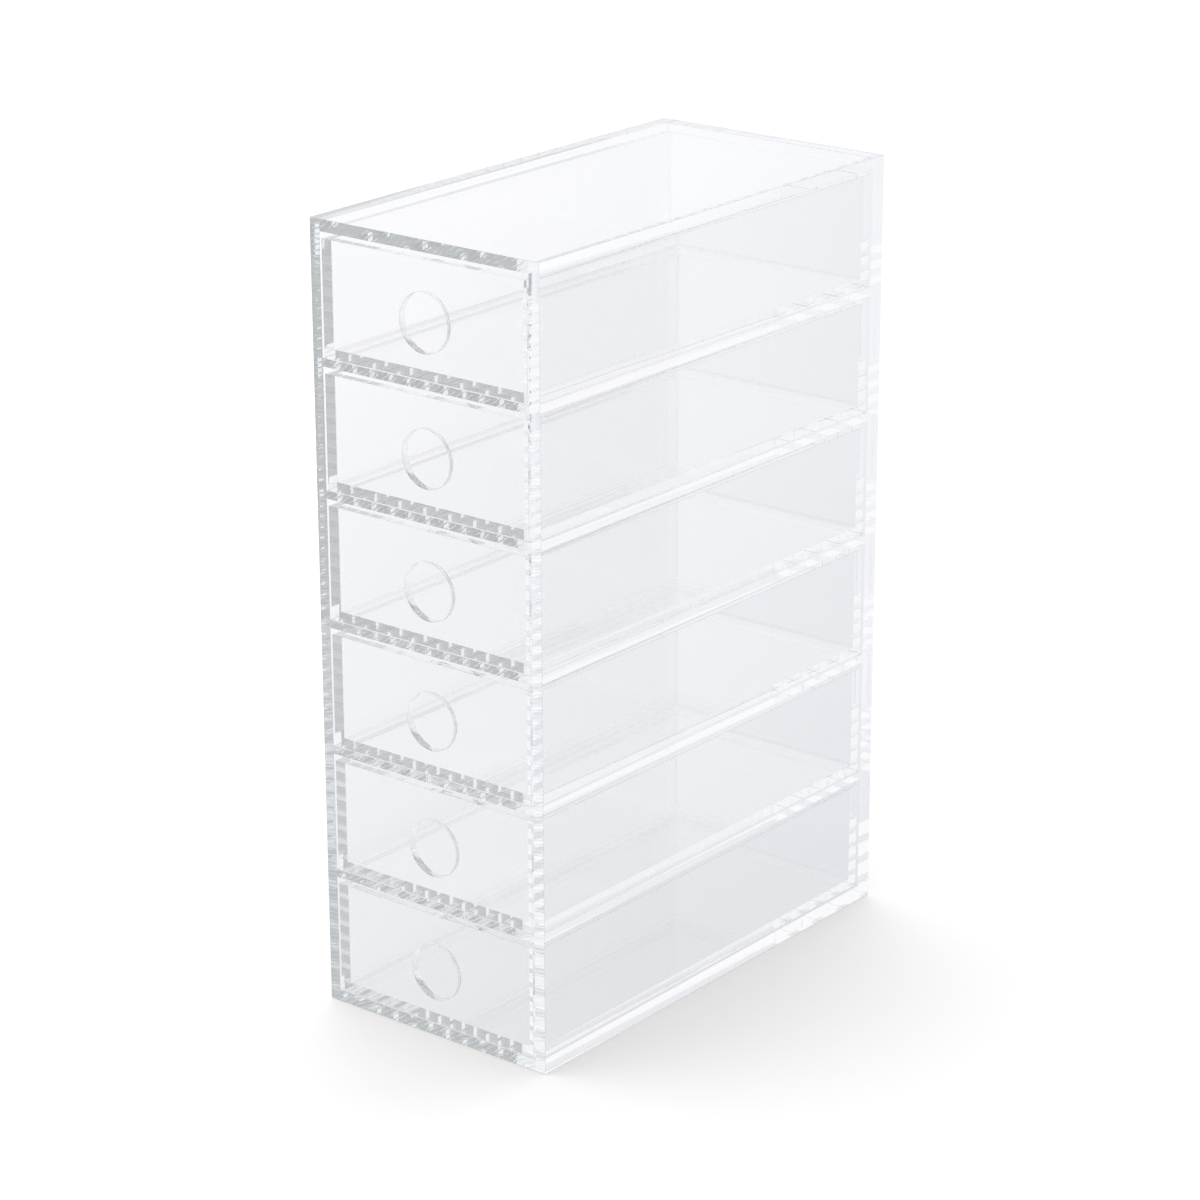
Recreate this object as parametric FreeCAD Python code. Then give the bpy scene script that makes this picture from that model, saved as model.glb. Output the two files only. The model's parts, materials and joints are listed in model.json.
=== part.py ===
import FreeCAD, Part
import os

os.makedirs("parts", exist_ok=True)

# Upright drawer box for rolls of washi tape, made of clear acrylic sheet.
# The case is ten bonded panels: two full-height sides with the top, bottom, back
# and shelves between them. Each drawer is a front with a finger hole, bonded over
# the edges of two sides and a bottom, with a back between the sides.
# Origin: middle of the base. +Z up, +X across the front, the fronts face -Y.

# Case
case_width = 87.0
case_depth = 170.0
case_height = 252.0
case_sheet = 3.8            # sides, top, bottom and back
shelf_sheet = 2.6

# Drawers
drawer_count = 6
drawer_sheet = 2.6
side_clearance = 0.7        # between a drawer and the case side, on each side
shelf_clearance = 0.3       # under a drawer
top_clearance = 2.0         # above a drawer
rear_clearance = 0.3        # behind a closed drawer
finger_hole_diameter = 18.5
finger_hole_drop = 1.0      # hole centre below the middle of the drawer front

# Polished chamfer round the case sides, the drawer fronts and the finger holes
edge_break = 0.3

same_place = 0.000001       # two places closer than this are one

# Places that several pieces share
right_face = case_width / 2
left_face = -right_face
front_face = -case_depth / 2
rear_face = case_depth / 2
inner_right = right_face - case_sheet
inner_left = left_face + case_sheet
inner_rear = rear_face - case_sheet
inner_bottom = case_sheet
inner_top = case_height - case_sheet

shelf_count = drawer_count - 1
bay_height = (inner_top - inner_bottom - shelf_count * shelf_sheet) / drawer_count
bay_pitch = bay_height + shelf_sheet

drawer_right = inner_right - side_clearance
drawer_left = inner_left + side_clearance
drawer_rear = inner_rear - rear_clearance
drawer_height = bay_height - shelf_clearance - top_clearance
finger_hole_radius = finger_hole_diameter / 2


def panel(low, high):
    """Flat rectangular sheet between two opposite corners."""
    size = [top - bottom for bottom, top in zip(low, high)]
    return Part.makeBox(size[0], size[1], size[2], FreeCAD.Vector(*low))


def broken_at_x(solid, x):
    """Chamfer the edges of the face that lies in the plane X = x."""
    edges = [e for e in solid.Edges if all(abs(v.X - x) < same_place for v in e.Vertexes)]
    return solid.makeChamfer(edge_break, edges)


def bay_floor(number):
    """Height of the surface under a drawer. Drawer 1 is the top one."""
    return inner_bottom + (drawer_count - number) * bay_pitch


def case_pieces():
    """The outer shell: full-height sides and the panels bonded between them."""
    left = panel((left_face, front_face, 0), (inner_left, rear_face, case_height))
    right = panel((inner_right, front_face, 0), (right_face, rear_face, case_height))
    top = panel((inner_left, front_face, inner_top), (inner_right, rear_face, case_height))
    bottom = panel((inner_left, front_face, 0), (inner_right, rear_face, inner_bottom))
    back = panel((inner_left, inner_rear, inner_bottom), (inner_right, rear_face, inner_top))
    return {
        "case_left_side": broken_at_x(left, left_face),
        "case_right_side": broken_at_x(right, right_face),
        "case_top": top,
        "case_bottom": bottom,
        "case_back": back,
    }


def shelf(number):
    """Shelf under drawer NUMBER, bonded to both sides and to the back."""
    top = bay_floor(number)
    low = (inner_left, front_face, top - shelf_sheet)
    high = (inner_right, inner_rear, top)
    return panel(low, high)


def drawer_front(low_z, high_z):
    """Front panel with its finger hole, chamfered round the outer face and the hole."""
    plate = panel((drawer_left, front_face, low_z),
                  (drawer_right, front_face + drawer_sheet, high_z))
    hole_z = (low_z + high_z) / 2 - finger_hole_drop
    hole = Part.makeCylinder(finger_hole_radius, drawer_sheet,
                             FreeCAD.Vector(0, front_face, hole_z), FreeCAD.Vector(0, 1, 0))
    plate = plate.cut(hole)
    outer = [e for e in plate.Edges if all(abs(v.Y - front_face) < same_place for v in e.Vertexes)]
    inner_rim = [e for e in plate.Edges
                 if isinstance(e.Curve, Part.Circle) and e.Vertexes[0].Y > front_face + same_place]
    return plate.makeChamfer(edge_break, outer + inner_rim)


def drawer_pieces(number):
    """The five panels of one drawer, in its closed place."""
    low_z = bay_floor(number) + shelf_clearance
    high_z = low_z + drawer_height
    behind_front = front_face + drawer_sheet
    left_inside = drawer_left + drawer_sheet
    right_inside = drawer_right - drawer_sheet
    back_front = drawer_rear - drawer_sheet
    floor_z = low_z + drawer_sheet
    name = "drawer_%d_" % number
    return {
        name + "front": drawer_front(low_z, high_z),
        name + "left_side": panel((drawer_left, behind_front, low_z),
                                  (left_inside, drawer_rear, high_z)),
        name + "right_side": panel((right_inside, behind_front, low_z),
                                   (drawer_right, drawer_rear, high_z)),
        name + "back": panel((left_inside, back_front, floor_z),
                             (right_inside, drawer_rear, high_z)),
        name + "bottom": panel((left_inside, behind_front, low_z),
                               (right_inside, drawer_rear, floor_z)),
    }


pieces = case_pieces()
for number in range(1, shelf_count + 1):
    pieces["shelf_%d" % number] = shelf(number)
for number in range(1, drawer_count + 1):
    pieces.update(drawer_pieces(number))

volume = 0.0
for node, solid in pieces.items():
    solid.exportStep("parts/%s.step" % node)
    volume += solid.Volume
print("%d pieces, %.1f cm3 of sheet" % (len(pieces), volume / 1000))
print("bay %.2f mm high, drawer %.2f mm high" % (bay_height, drawer_height))
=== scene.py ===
import json
import math

import bmesh
import bpy
from mathutils import Matrix, Vector


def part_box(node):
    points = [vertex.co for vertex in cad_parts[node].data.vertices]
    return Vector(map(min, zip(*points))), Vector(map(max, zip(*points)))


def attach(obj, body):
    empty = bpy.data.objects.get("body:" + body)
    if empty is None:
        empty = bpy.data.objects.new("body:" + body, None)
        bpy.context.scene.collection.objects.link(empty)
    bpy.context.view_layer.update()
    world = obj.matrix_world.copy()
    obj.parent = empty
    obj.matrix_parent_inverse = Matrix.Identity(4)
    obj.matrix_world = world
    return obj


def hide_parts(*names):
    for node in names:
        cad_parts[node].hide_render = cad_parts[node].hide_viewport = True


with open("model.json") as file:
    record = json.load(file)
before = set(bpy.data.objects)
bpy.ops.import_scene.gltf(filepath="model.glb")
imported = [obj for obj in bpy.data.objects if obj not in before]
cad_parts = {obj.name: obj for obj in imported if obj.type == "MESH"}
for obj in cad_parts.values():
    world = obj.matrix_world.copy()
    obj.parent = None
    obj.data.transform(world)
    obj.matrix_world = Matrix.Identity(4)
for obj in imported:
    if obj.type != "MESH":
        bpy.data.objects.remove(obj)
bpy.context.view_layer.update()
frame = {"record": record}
print("frame loaded")

acrylic = {
    "ior": 1.49,
    "faceTint": (0.998, 0.998, 0.9985, 1),
    "waveLength": 0.045,              # slow waviness of a cast sheet
    "waveHeight": 0.00002,
    "rippleLength": 0.012,
    "rippleHeight": 0.000004,
    "smudgeSize": 0.03,               # where hands have touched it
    "smudgeRange": (0.55, 0.8),
    "smudgeRoughness": 0.012,
    "scratchPitch": 0.0009,           # upright hairlines
    "scratchLength": 0.06,
    "scratchRange": (0.68, 0.75),
    "scratchRoughness": 0.01,
}
sawnEdge = {                          # front and rear edges, as the saw left them
    "tint": (0.862, 0.887, 0.886, 1),
    "roughness": 0.02,
    "blockPitch": 0.0016,             # uneven steps along the cut
    "blockHeight": 0.000015,
    "blockAcross": 1 / 60,            # the steps hardly change across the edge
    "markPitch": 0.0016,              # slanted marks of the saw teeth, on front edges only
    "markSlant": (-1.05, 0.0, 0.2),   # in radians, by the edge's long axis
    "markBend": 3.0,
    "markSharp": 10.0,
    "markHeight": (0.000012, 0.0, 0.000022),  # by the edge's long axis
}
lighterRightEdge = dict(sawnEdge, tint=(0.965, 0.97, 0.982, 1), blockHeight=0.000004,
                 markHeight=(0.0, 0.0, 0.000005))  # the right side's front edges: a painted lighter tone, with fainter steps and marks
smoothEdge = {                        # the other edges, scraped smooth
    "tint": (1.0, 1.0, 1.0, 1),
    "roughness": 0.03,
    "grain": 0.004,
    "grainHeight": 0.000004,
}
brokenCorner = {                      # the narrow bevel along each free edge
    "tint": (0.97, 0.975, 0.98, 1),
    "roughness": 0.5,
    "grain": 0.0006,
    "grainHeight": 0.000005,
    "width": 0.00006,
    "sharp": 1.0,                     # edges that turn more than this many radians are broken
}
fingerHole = {
    "diameter": 0.0185,
    "drop": 0.001,                    # centre below the middle of the front
    "segments": 96,
    "rim": 0.0001,                    # faces this near the wall belong to it
    "tint": (0.97, 0.975, 0.985, 1),
    "roughness": 0.2,
    "ringPitch": 0.0005,              # turned rings round the wall
    "ringAround": 1 / 60,
    "ringHeight": 0.000002,
}
touch = 0.00001                       # faces this close are bonded
tiny = 0.000001                       # lengths below this are none
wavePitch = 0.314                     # metres between the bands of a Wave texture of scale 1


def mathNode(nodes, links, operation, first, second):
    node = nodes.new("ShaderNodeMath")
    node.operation = operation
    for socket, value in zip(node.inputs, (first, second)):
        if isinstance(value, (int, float)):
            socket.default_value = value
        else:
            links.new(value, socket)
    return node.outputs[0]


def ramped(nodes, links, value, start, end, kind="SMOOTHSTEP"):
    ramp = nodes.new("ShaderNodeMapRange")
    ramp.interpolation_type = kind
    ramp.inputs["From Min"].default_value = start
    ramp.inputs["From Max"].default_value = end
    links.new(value, ramp.inputs["Value"])
    return ramp.outputs["Result"]


def newMaterial(name):
    material = bpy.data.materials.new(name)
    material.use_nodes = True
    nodes = material.node_tree.nodes
    return material, nodes, material.node_tree.links, nodes["Principled BSDF"]


def stretchedNoise(nodes, links, scale, detail, distortion=0.0):
    place = nodes.new("ShaderNodeTexCoord")
    mapping = nodes.new("ShaderNodeMapping")
    mapping.inputs["Scale"].default_value = scale
    links.new(place.outputs["Object"], mapping.inputs["Vector"])
    noise = nodes.new("ShaderNodeTexNoise")
    noise.inputs["Scale"].default_value = 1.0
    noise.inputs["Detail"].default_value = detail
    noise.inputs["Distortion"].default_value = distortion
    links.new(mapping.outputs["Vector"], noise.inputs["Vector"])
    return noise.outputs["Fac"]


def even(length):
    return (1 / length,) * 3


def bumped(nodes, links, height, metres, normal=None):
    bump = nodes.new("ShaderNodeBump")
    bump.inputs["Distance"].default_value = metres
    links.new(height, bump.inputs["Height"])
    if normal:
        links.new(normal, bump.inputs["Normal"])
    return bump.outputs["Normal"]


def clearMaterial(name, tint, roughness=0):
    material, nodes, links, shader = newMaterial(name)
    shader.inputs["Base Color"].default_value = tint
    shader.inputs["IOR"].default_value = acrylic["ior"]
    shader.inputs["Transmission Weight"].default_value = 1
    shader.inputs["Roughness"].default_value = roughness
    return material, nodes, links, shader


def clearFace():
    material, nodes, links, shader = clearMaterial("clearFace", acrylic["faceTint"])
    cloud = stretchedNoise(nodes, links, even(acrylic["smudgeSize"]), detail=4.0)
    smudge = ramped(nodes, links, cloud, *acrylic["smudgeRange"])
    pitch, length = acrylic["scratchPitch"], acrylic["scratchLength"]
    streak = stretchedNoise(nodes, links, (1 / length, 1 / length, 1 / pitch), detail=1.0, distortion=0.6)
    hairline = ramped(nodes, links, streak, *acrylic["scratchRange"])
    touched = mathNode(nodes, links, "MULTIPLY", smudge, acrylic["smudgeRoughness"])
    worn = mathNode(nodes, links, "MULTIPLY", hairline, acrylic["scratchRoughness"])
    links.new(mathNode(nodes, links, "ADD", touched, worn), shader.inputs["Roughness"])
    wave = stretchedNoise(nodes, links, even(acrylic["waveLength"]), detail=1.0)
    ripple = stretchedNoise(nodes, links, even(acrylic["rippleLength"]), detail=1.0)
    slow = bumped(nodes, links, wave, acrylic["waveHeight"])
    links.new(bumped(nodes, links, ripple, acrylic["rippleHeight"], slow), shader.inputs["Normal"])
    return material


def sawMarks(nodes, links, longAxis, facts):
    place = nodes.new("ShaderNodeTexCoord")
    mapping = nodes.new("ShaderNodeMapping")
    mapping.inputs["Rotation"].default_value = (0.0, facts["markSlant"][longAxis], 0.0)
    links.new(place.outputs["Object"], mapping.inputs["Vector"])
    wave = nodes.new("ShaderNodeTexWave")
    wave.bands_direction = "XYZ"[longAxis]
    wave.inputs["Scale"].default_value = wavePitch / facts["markPitch"]
    wave.inputs["Distortion"].default_value = facts["markBend"]
    wave.inputs["Detail"].default_value = 2.0
    wave.inputs["Detail Scale"].default_value = 1.5
    links.new(mapping.outputs["Vector"], wave.inputs["Vector"])
    return mathNode(nodes, links, "POWER", wave.outputs["Fac"], facts["markSharp"])


def sawnFace(name, longAxis, facts, marked):
    fullName = name + "XYZ"[longAxis]
    material, nodes, links, shader = clearMaterial(fullName, facts["tint"], facts["roughness"])
    scale = list(even(facts["blockAcross"]))
    scale[longAxis] = 1 / facts["blockPitch"]
    blocks = stretchedNoise(nodes, links, scale, detail=2.0, distortion=0.4)
    normal = bumped(nodes, links, blocks, facts["blockHeight"])
    if marked:
        marks = sawMarks(nodes, links, longAxis, facts)
        normal = bumped(nodes, links, marks, facts["markHeight"][longAxis], normal)
    links.new(normal, shader.inputs["Normal"])
    return material


def grainedFace(name, facts):
    material, nodes, links, shader = clearMaterial(name, facts["tint"], facts["roughness"])
    grain = stretchedNoise(nodes, links, even(facts["grain"]), detail=2.0)
    links.new(bumped(nodes, links, grain, facts["grainHeight"]), shader.inputs["Normal"])
    return material


def holeWall():
    material, nodes, links, shader = clearMaterial("holeWall", fingerHole["tint"], fingerHole["roughness"])
    around = 1 / fingerHole["ringAround"]
    rings = stretchedNoise(nodes, links, (around, 1 / fingerHole["ringPitch"], around), detail=1.0)
    links.new(bumped(nodes, links, rings, fingerHole["ringHeight"]), shader.inputs["Normal"])
    return material


def bondedFace():
    material, nodes, links, shader = newMaterial("bondedFace")
    shader.inputs["Alpha"].default_value = 0  # light crosses a bond unbent
    return material


materials = [
    clearFace(),
    bondedFace(),
    grainedFace("brokenEdge", brokenCorner),
    holeWall(),
    grainedFace("smoothEdge", smoothEdge),
    sawnFace("sawnEdgeAlong", 0, sawnEdge, True),
    sawnFace("sawnEdgeAlong", 2, sawnEdge, True),
    sawnFace("rearEdgeAlong", 0, sawnEdge, False),
    sawnFace("rearEdgeAlong", 2, sawnEdge, False),
    sawnFace("lighterRightEdgeAlong", 2, lighterRightEdge, True),
]
faceSlot, bondSlot, breakSlot, holeSlot, smoothSlot = range(5)  # places in the list above
sawnSlot, rearSlot, lighterRightSlot = 5, 7, 9  # level edges first, then upright ones


def bondsOf(name, group):
    low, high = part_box(name)
    bonds = []
    for other in group:
        if other == name:
            continue
        otherLow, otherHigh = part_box(other)
        shareLow = Vector(map(max, low, otherLow))
        shareHigh = Vector(map(min, high, otherHigh))
        gaps = [shareHigh[a] - shareLow[a] for a in range(3)]
        flat = [a for a in range(3) if abs(gaps[a]) < touch]
        wide = [a for a in range(3) if gaps[a] > touch]
        if len(flat) == 1 and len(wide) == 2:
            bonds.append((flat[0], shareLow, shareHigh))
    return bonds


def axisVector(axis):
    return Vector([1.0 if a == axis else 0.0 for a in range(3)])


def cutAtBonds(bm, bonds):
    for axis, low, high in bonds:
        for across in range(3):
            if across == axis:
                continue
            for corner in (low, high):
                bmesh.ops.bisect_plane(bm, geom=bm.verts[:] + bm.edges[:] + bm.faces[:], dist=tiny / 10,
                                       plane_co=corner, plane_no=axisVector(across))


def markFaces(bm, bonds, thinAxis):
    bm.normal_update()
    for face in bm.faces:
        middle = face.calc_center_median()
        facing = max(range(3), key=lambda a: abs(face.normal[a]))
        if facing == thinAxis:
            face.material_index = faceSlot
        elif facing == 1:
            upright = 1 if thinAxis == 0 else 0
            face.material_index = (sawnSlot if face.normal.y < 0 else rearSlot) + upright
            # upright front edges on the right half take the lighter copy of the edge: painted light
            if upright and face.normal.y < 0 and middle.x > 0:
                face.material_index = lighterRightSlot
        else:
            face.material_index = smoothSlot
        for axis, low, high in bonds:
            inside = all(low[a] - tiny < middle[a] < high[a] + tiny for a in range(3))
            if facing == axis and inside:
                face.material_index = bondSlot


def bevelFree(bm):
    free = []
    for edge in bm.edges:
        if len(edge.link_faces) != 2 or edge.calc_face_angle() < brokenCorner["sharp"]:
            continue
        if all(f.material_index != bondSlot for f in edge.link_faces):
            free.append(edge)
    rounded = bmesh.ops.bevel(bm, geom=free, offset=brokenCorner["width"], segments=2, profile=0.5,
                              affect="EDGES", material=-1, clamp_overlap=True)
    for face in rounded["faces"]:
        if face.calc_area() > 0:
            face.material_index = breakSlot


def finishPiece(bm, node, body):
    mesh = bpy.data.meshes.new("look_" + node)
    bm.normal_update()
    bm.to_mesh(mesh)
    bm.free()
    for material in materials:
        mesh.materials.append(material)
    piece = bpy.data.objects.new("look_" + node, mesh)
    bpy.context.scene.collection.objects.link(piece)
    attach(piece, body)
    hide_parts(node)


def sheetBox(low, high):
    bm = bmesh.new()
    bmesh.ops.create_cube(bm, size=1)
    bmesh.ops.scale(bm, vec=high - low, verts=bm.verts)
    bmesh.ops.translate(bm, vec=(low + high) / 2, verts=bm.verts)
    return bm


def panel(node, body, group):
    low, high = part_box(node)
    thin = min(range(3), key=lambda a: high[a] - low[a])
    bonds = bondsOf(node, group)
    bm = sheetBox(low, high)
    cutAtBonds(bm, bonds)
    markFaces(bm, bonds, thin)
    bevelFree(bm)
    finishPiece(bm, node, body)


def reach(ray, start, low, high):
    if abs(ray) < tiny / 1000:
        return math.inf
    return ((high if ray > 0 else low) - start) / ray


def drawerFront(node, body, group):
    low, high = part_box(node)
    middle = (low + high) / 2
    centre = Vector((middle.x, low.y, middle.z - fingerHole["drop"]))
    bm = bmesh.new()
    turn = Matrix.Rotation(math.radians(90), 4, "X")
    bmesh.ops.create_circle(bm, segments=fingerHole["segments"], radius=fingerHole["diameter"] / 2,
                            matrix=Matrix.Translation(centre) @ turn)
    outer = bmesh.ops.extrude_edge_only(bm, edges=bm.edges[:])
    outerVerts = [v for v in outer["geom"] if isinstance(v, bmesh.types.BMVert)]
    for v in outerVerts:
        ray = v.co - centre
        v.co = centre + ray * min(reach(ray[a], centre[a], low[a], high[a]) for a in (0, 2))
    for x in (low.x, high.x):
        for z in (low.z, high.z):
            corner = Vector((x, low.y, z))
            nearest = min(outerVerts, key=lambda v: (v.co - corner).length)
            nearest.co = corner
    bmesh.ops.recalc_face_normals(bm, faces=bm.faces[:])
    grown = bmesh.ops.extrude_face_region(bm, geom=bm.faces[:])
    moved = [v for v in grown["geom"] if isinstance(v, bmesh.types.BMVert)]
    bmesh.ops.translate(bm, vec=(0, high.y - low.y, 0), verts=moved)
    bmesh.ops.recalc_face_normals(bm, faces=bm.faces[:])
    bonds = bondsOf(node, group)
    cutAtBonds(bm, bonds)
    markFaces(bm, bonds, 1)
    bevelFree(bm)
    for face in bm.faces:
        away = face.calc_center_median() - centre
        if math.hypot(away.x, away.z) < fingerHole["diameter"] / 2 + fingerHole["rim"]:
            face.smooth = True
            face.material_index = holeSlot
    finishPiece(bm, node, body)


bodies = frame["record"]["behaviour"]["bodies"]
for body, nodes in bodies.items():
    for node in nodes:
        if node.endswith("_front"):
            drawerFront(node, body, nodes)
        else:
            panel(node, body, nodes)
print("panels made")


floorPlane = {
    "size": 40.0,
    "drop": 0.0002,                   # the paper lies this far below the base
    "roughness": 0.9,
    "colour": (0.93, 0.93, 0.93, 1),
    "lift": 0.36,                     # brings the lit paper to white for the eye
    "throughColour": (0.12, 0.122, 0.126, 1),  # where it is seen through the sheets
    "brightTone": (0.872, 0.874, 0.902, 1),    # and its lift there, by place, with painted shade: brightTone away from the box, shadeTone towards shadeWay
    "shadeTone": (0.636, 0.655, 0.683, 1),
    "shadeWay": (0.885, 0.466, 0.0),
    "shadeRange": (-0.25, 0.10),      # metres along that way
    # painted shade on the paper in front of the box, seen only in the sheets
    "frontShadeTone": (0.755, 0.765, 0.795, 1),
    "frontWay": (0.0, -1.0, 0.0),
    "frontRange": (0.02, 0.14),
    # painted shade on the paper to the back right, seen only by light that has run along inside a sheet
    "dimTone": (0.37, 0.375, 0.38, 1),
    "dimWay": (0.8, 0.6, 0.0),
    "dimRange": (0.10, 0.40),
}
guidedRange = (2.0, 15.0)             # faces met by light that has run along inside a sheet
studio = {
    "white": (0.985, 0.985, 1.0, 1),
    "dim": (0.54, 0.55, 0.56, 1),     # the unlit corner of the room
    "dimWay": (0.62, 0.74, 0.25),
    "dimRange": (0.78, 0.95),         # cosine of the angle from that way
    "light": 0.61,                    # what lights the paper
}
firstDiffuse = 0.5                    # below this depth no diffuse face has been met


def towards(nodes, links, way, limits, coordinate, kind="SMOOTHSTEP"):
    place = nodes.new("ShaderNodeTexCoord")
    dot = nodes.new("ShaderNodeVectorMath")
    dot.operation = "DOT_PRODUCT"
    dot.inputs[1].default_value = way
    links.new(place.outputs[coordinate], dot.inputs[0])
    return ramped(nodes, links, dot.outputs["Value"], *limits, kind)


# darker towards a way, more so after many bounces: the room's unlit corner, and painted shade on the paper
def dimCorner(nodes, links, facts, coordinate, rays):
    corner = towards(nodes, links, facts["dimWay"], facts["dimRange"], coordinate)
    along = ramped(nodes, links, rays["Ray Depth"], *guidedRange)
    return mathNode(nodes, links, "MULTIPLY", corner, along)


def mixedColour(nodes, links, factor, first, second):
    mixer = nodes.new("ShaderNodeMix")
    mixer.data_type = "RGBA"
    links.new(factor, mixer.inputs["Factor"])
    for name, value in (("A", first), ("B", second)):
        if isinstance(value, tuple):
            mixer.inputs[name].default_value = value
        else:
            links.new(value, mixer.inputs[name])
    return mixer.outputs["Result"]


# The paper's glow as seen in the sheets, with painted shade: darker towards shadeWay, in front of the box,
# and to the back right along long paths.
def throughTone(nodes, links, rays):
    shade = towards(nodes, links, floorPlane["shadeWay"], floorPlane["shadeRange"], "Object", "LINEAR")
    tone = mixedColour(nodes, links, shade, floorPlane["brightTone"], floorPlane["shadeTone"])
    front = towards(nodes, links, floorPlane["frontWay"], floorPlane["frontRange"], "Object")
    bright = mathNode(nodes, links, "SUBTRACT", 1.0, shade)
    brightFront = mathNode(nodes, links, "MULTIPLY", front, bright)
    tone = mixedColour(nodes, links, brightFront, tone, floorPlane["frontShadeTone"])
    corner = dimCorner(nodes, links, floorPlane, "Object", rays)
    return mixedColour(nodes, links, corner, tone, floorPlane["dimTone"])


def floorPaper():
    material, nodes, links, shader = newMaterial("floorPaper")
    shader.inputs["Roughness"].default_value = floorPlane["roughness"]
    rays = nodes.new("ShaderNodeLightPath").outputs
    bent = mathNode(nodes, links, "MAXIMUM", rays["Is Glossy Ray"], rays["Is Transmission Ray"])
    direct = mathNode(nodes, links, "LESS_THAN", rays["Diffuse Depth"], firstDiffuse)
    through = mathNode(nodes, links, "MULTIPLY", bent, direct)
    lift = floorPlane["lift"]
    plain = mixedColour(nodes, links, rays["Is Camera Ray"], (0, 0, 0, 1), (lift, lift, lift, 1))
    paper = mixedColour(nodes, links, through, floorPlane["colour"], floorPlane["throughColour"])
    # the paper's glow: an even white for the eye, and painted shade where it is seen in the sheets
    glow = mixedColour(nodes, links, through, plain, throughTone(nodes, links, rays))
    links.new(paper, shader.inputs["Base Color"])
    links.new(glow, shader.inputs["Emission Color"])
    shader.inputs["Emission Strength"].default_value = 1.0
    return material


def floor():
    bm = bmesh.new()
    bmesh.ops.create_grid(bm, x_segments=1, y_segments=1, size=floorPlane["size"] / 2)
    mesh = bpy.data.meshes.new("floor")
    bm.to_mesh(mesh)
    bm.free()
    mesh.materials.append(floorPaper())
    plane = bpy.data.objects.new("floor", mesh)
    bpy.context.scene.collection.objects.link(plane)
    plane.location.z = -floorPlane["drop"]


def room():
    world = bpy.data.worlds.new("studio")
    bpy.context.scene.world = world
    world.use_nodes = True
    nodes = world.node_tree.nodes
    links = world.node_tree.links
    light = studio["light"]
    rays = nodes.new("ShaderNodeLightPath").outputs
    corner = dimCorner(nodes, links, studio, "Generated", rays)
    around = mixedColour(nodes, links, corner, studio["white"], studio["dim"])
    lighting = mathNode(nodes, links, "GREATER_THAN", rays["Diffuse Depth"], firstDiffuse)
    lit = mixedColour(nodes, links, lighting, around, (light, light, light, 1))
    seen = mixedColour(nodes, links, rays["Is Camera Ray"], lit, (1, 1, 1, 1))
    links.new(seen, nodes["Background"].inputs["Color"])


floor()
room()
print("floor and room made")

lamps = {
    "key": {"place": (-1.0, -0.7, 1.1), "size": 1.6, "power": 6.0},
    "top": {"place": (-0.4, 0.8, 1.6), "size": 1.6, "power": 8.0},
}
lampAim = (0.0, 0.0, 0.1)


def lamp(name):
    facts = lamps[name]
    data = bpy.data.lights.new(name, "AREA")
    data.shape = "SQUARE"
    data.size = facts["size"]
    data.energy = facts["power"]
    lampObject = bpy.data.objects.new(name, data)
    bpy.context.scene.collection.objects.link(lampObject)
    aim = Vector(lampAim) - Vector(facts["place"])
    lampObject.location = facts["place"]
    lampObject.visible_glossy = False  # the lamps light the paper and aren't seen in the sheets
    lampObject.visible_transmission = False
    lampObject.rotation_euler = aim.to_track_quat("-Z", "Y").to_euler()


for name in lamps:
    lamp(name)

view = {
    "azimuth": 38.61,                 # degrees round from the front, then up
    "elevation": 19.59,
    "roll": -0.158,
    "distance": 1.2459,
    "right": -0.0025,
    "up": 0.1117,
    "focalPixels": 3838,
    "picturePixels": 1200,
    "sensor": 36.0,
    "farLimit": 100.0,
}


def addCamera():
    cameraData = bpy.data.cameras.new("camera")
    camera = bpy.data.objects.new("camera", cameraData)
    bpy.context.scene.collection.objects.link(camera)
    bpy.context.scene.camera = camera
    azimuth, elevation, roll = (math.radians(view[k]) for k in ("azimuth", "elevation", "roll"))
    back = Vector((math.sin(azimuth) * math.cos(elevation),
                   -math.cos(azimuth) * math.cos(elevation), math.sin(elevation)))
    levelRight = (-back).cross(Vector((0, 0, 1))).normalized()
    levelUp = back.cross(levelRight)
    right = levelRight * math.cos(roll) + levelUp * math.sin(roll)
    up = levelUp * math.cos(roll) - levelRight * math.sin(roll)
    place = back * view["distance"] + right * view["right"] + up * view["up"]
    turn = Matrix((right, up, back)).transposed().to_4x4()
    camera.matrix_world = Matrix.Translation(place) @ turn
    cameraData.sensor_width = view["sensor"]
    cameraData.lens = view["focalPixels"] / view["picturePixels"] * view["sensor"]
    cameraData.clip_end = view["farLimit"]


addCamera()
print("camera set")

bounces = 600                         # light runs far along inside the sheets
cycles = bpy.context.scene.cycles
cycles.max_bounces = bounces
cycles.transmission_bounces = bounces
cycles.glossy_bounces = bounces
cycles.transparent_max_bounces = bounces
bpy.context.scene.view_settings.view_transform = "Standard"
